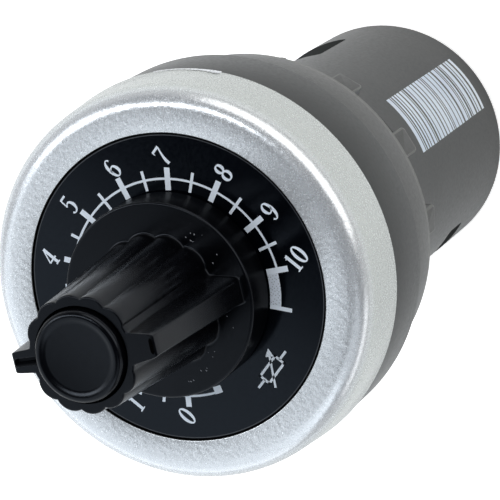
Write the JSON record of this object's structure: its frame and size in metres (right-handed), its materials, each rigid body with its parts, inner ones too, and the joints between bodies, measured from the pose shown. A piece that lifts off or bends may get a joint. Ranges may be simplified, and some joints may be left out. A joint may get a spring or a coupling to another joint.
{
  "type": "rotary potentiometer",
  "caption": "Panel mounted rotary potentiometer with a fluted pointer knob, a round dial in a silver bezel, a threaded barrel with a ring nut and a long terminal housing.",
  "frame": {"origin": "centre of the flat rear face of the housing", "axes": "+Z along the shaft towards the knob, +Y towards the middle number of the dial, +X to the right seen from the front"},
  "size_m": [0.0303, 0.0302, 0.064],
  "materials": {
    "knob_black": "moulded, satin gloss",
    "dial_print": "satin with a pale scale printed on it",
    "silver_paint": "metallic silver",
    "dark_grey": "matte, moulded",
    "mid_grey": "matte, moulded",
    "black_plastic": "matte, moulded",
    "black_rubber": "matte",
    "brass": "turned",
    "plated_brass": "nickel plated",
    "contact_metal": "stamped sheet",
    "steel": "zinc plated",
    "case_metal": "drawn sheet",
    "wafer": "laminate",
    "carbon": "carbon film",
    "rotor_plastic": "moulded"
  },
  "bodies": {
    "housing": {"dial_plate": "dial_print", "bezel_ring": "silver_paint", "front_body": "dark_grey", "panel_gasket": "black_rubber", "ring_nut": "mid_grey", "rear_housing": "mid_grey", "bushing": "plated_brass", "bushing_nut": "plated_brass", "lock_washer": "steel", "bushing_seal": "black_rubber", "pot_case": "case_metal", "track_wafer": "wafer", "resistive_track": "carbon", "collector_ring": "contact_metal", "terminal_start": "contact_metal", "terminal_wiper": "contact_metal", "terminal_end": "contact_metal", "terminal_block": "black_plastic", "clamp_plates": "steel", "terminal_screws": "steel"},
    "knob_assembly": {"knob": "knob_black", "knob_cap": "knob_black", "collet": "brass", "collet_nut": "brass", "pot_shaft": "steel", "shaft_clip": "steel", "rotor": "rotor_plastic", "wiper": "contact_metal"}
  },
  "joints": [
    {"name": "knob_turn", "type": "hinge", "parent": "housing", "child": "knob_assembly", "pos_m": [0, 0, 0.03], "axis": [0, 0, -1], "range_deg": [-102, 198]}
  ]
}
